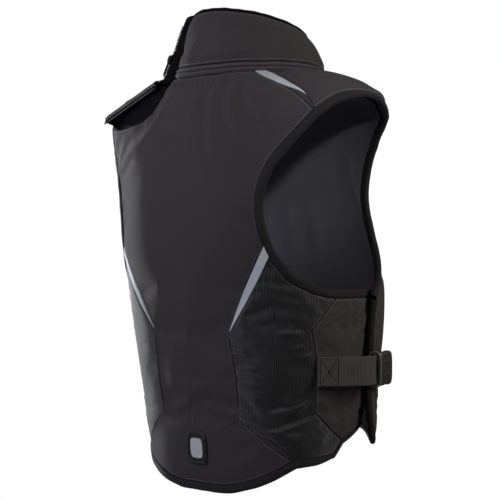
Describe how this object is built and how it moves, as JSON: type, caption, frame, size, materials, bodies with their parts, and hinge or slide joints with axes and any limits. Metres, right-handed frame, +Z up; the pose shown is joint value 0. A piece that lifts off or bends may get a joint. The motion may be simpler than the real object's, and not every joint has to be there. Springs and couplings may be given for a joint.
{
  "type": "snow sports protective vest",
  "caption": "Padded black vest with a stand-up collar, bound armholes, ribbed side panels, reflective wedges and webbing straps with side buckles, in its worn shape.",
  "frame": {"origin": "between the shoulders, on the middle plane, at the height where the vest rests on them", "axes": "+Z up, +Y towards the wearer's back, +X towards the wearer's left"},
  "size_m": [0.4534, 0.2812, 0.6435],
  "materials": {
    "shell_fabric": "matte black nylon over foam",
    "ribbed_fabric": "fine vertical rib, stretch",
    "lining_satin": "smooth blue-black lining",
    "edge_tape": "black binding tape",
    "reflective_tape": "silver reflective",
    "webbing": "ribbed polyester webbing",
    "buckle_plastic": "moulded black",
    "slider_metal": "dark metal",
    "patch_rubber": "moulded, blank"
  },
  "bodies": {
    "root": {"back_panel": "shell_fabric", "front_panel": "shell_fabric", "collar": "shell_fabric", "collar_zip_band": "shell_fabric", "side_wing_left": "shell_fabric", "side_wing_right": "shell_fabric", "shoulder_yoke_left": "shell_fabric", "shoulder_yoke_right": "shell_fabric", "side_panel_left": "ribbed_fabric", "side_panel_right": "ribbed_fabric", "front_lining": "lining_satin", "collar_top_binding": "edge_tape", "collar_closure": "edge_tape", "back_hem_binding": "edge_tape", "front_edge_binding": "edge_tape", "armhole_binding_left": "edge_tape", "armhole_binding_right": "edge_tape", "waist_reflector_left": "reflective_tape", "waist_reflector_right": "reflective_tape", "shoulder_reflector_left": "reflective_tape", "shoulder_reflector_right": "reflective_tape", "side_strap_left": "webbing", "side_strap_right": "webbing", "front_tab_left": "webbing", "front_tab_right": "webbing", "buckle_tongue_left": "buckle_plastic", "buckle_tongue_right": "buckle_plastic", "buckle_socket_left": "buckle_plastic", "buckle_socket_right": "buckle_plastic", "collar_zip_slider": "slider_metal", "back_badge": "patch_rubber"}
  },
  "joints": []
}
